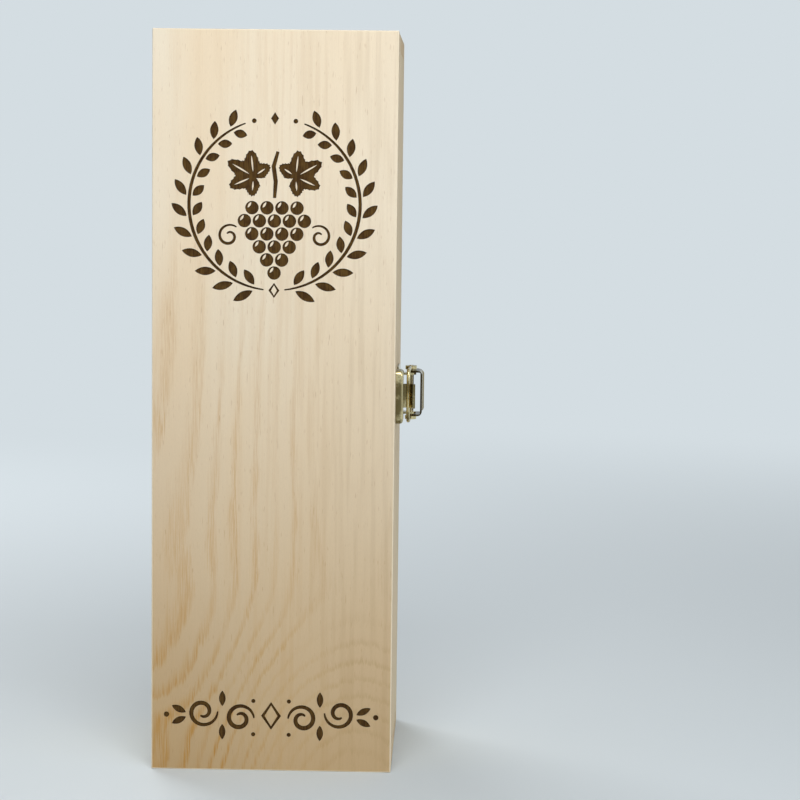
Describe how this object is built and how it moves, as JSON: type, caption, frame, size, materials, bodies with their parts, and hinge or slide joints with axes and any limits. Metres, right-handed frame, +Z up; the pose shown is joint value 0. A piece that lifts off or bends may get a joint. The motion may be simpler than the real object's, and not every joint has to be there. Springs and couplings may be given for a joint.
{
  "type": "wine box",
  "caption": "Tall wooden gift box for one bottle, standing on its end, with a hinged front lid, a toggle latch on the side and a notched neck cradle inside.",
  "frame": {"origin": "middle of the bottom face that the box stands on", "axes": "+Z up along the bottle, -Y the lid's face, +Y the back, -X the hinge wall, +X the latch wall"},
  "size_m": [0.133, 0.11, 0.355],
  "materials": {
    "front_veneer": "sanded pale wood with upright grain",
    "box_wood": "sanded pale wood",
    "latch_brass": "antique pale brass plating",
    "hinge_brass": "antique pale brass plating",
    "pins": "drawn wire",
    "screws": "brass plated"
  },
  "bodies": {
    "tray": {"back_panel": "box_wood", "tray_left_side": "box_wood", "tray_right_side": "box_wood", "tray_top_end": "box_wood", "tray_bottom_end": "box_wood", "neck_cradle": "box_wood", "upper_hinge_tray_leaf": "hinge_brass", "lower_hinge_tray_leaf": "hinge_brass", "upper_hinge_pin": "pins", "lower_hinge_pin": "pins", "tray_hinge_screws": "screws", "latch_base_plate": "latch_brass", "lever_pivot_pin": "pins", "latch_base_screws": "screws"},
    "lid": {"lid_panel": "front_veneer", "lid_left_rail": "box_wood", "lid_right_rail": "box_wood", "lid_top_rail": "box_wood", "lid_bottom_rail": "box_wood", "upper_hinge_lid_leaf": "hinge_brass", "lower_hinge_lid_leaf": "hinge_brass", "lid_hinge_screws": "screws", "strike_plate": "latch_brass", "strike_screws": "screws"},
    "lever": {"latch_lever": "latch_brass"},
    "loop_pin": {"loop_pivot_pin": "pins"},
    "loop": {"latch_loop": "latch_brass"}
  },
  "joints": [
    {"name": "lid_hinge", "type": "hinge", "parent": "tray", "child": "lid", "pos_m": [-0.06005, -0.025, 0.1775], "axis": [0, 0, -1], "range_deg": [0, 180]},
    {"name": "latch_lever_turn", "type": "hinge", "parent": "tray", "child": "lever", "pos_m": [0.0652, -0.017, 0.181], "axis": [0, 0, -1], "range_deg": [0, 100]},
    {"name": "loop_pin_turn", "type": "hinge", "parent": "lever", "child": "loop_pin", "pos_m": [0.0648, -0.013, 0.181], "axis": [0, 0, -1], "range_deg": [-86.5, 0]},
    {"name": "loop_swing", "type": "hinge", "parent": "loop_pin", "child": "loop", "pos_m": [0.0648, -0.013, 0.181], "axis": [0, 0, 1], "range_deg": [0, 90]}
  ],
  "couplings": [
    {"joint": "loop_pin_turn", "follows": "latch_lever_turn", "ratio": -0.86}
  ]
}
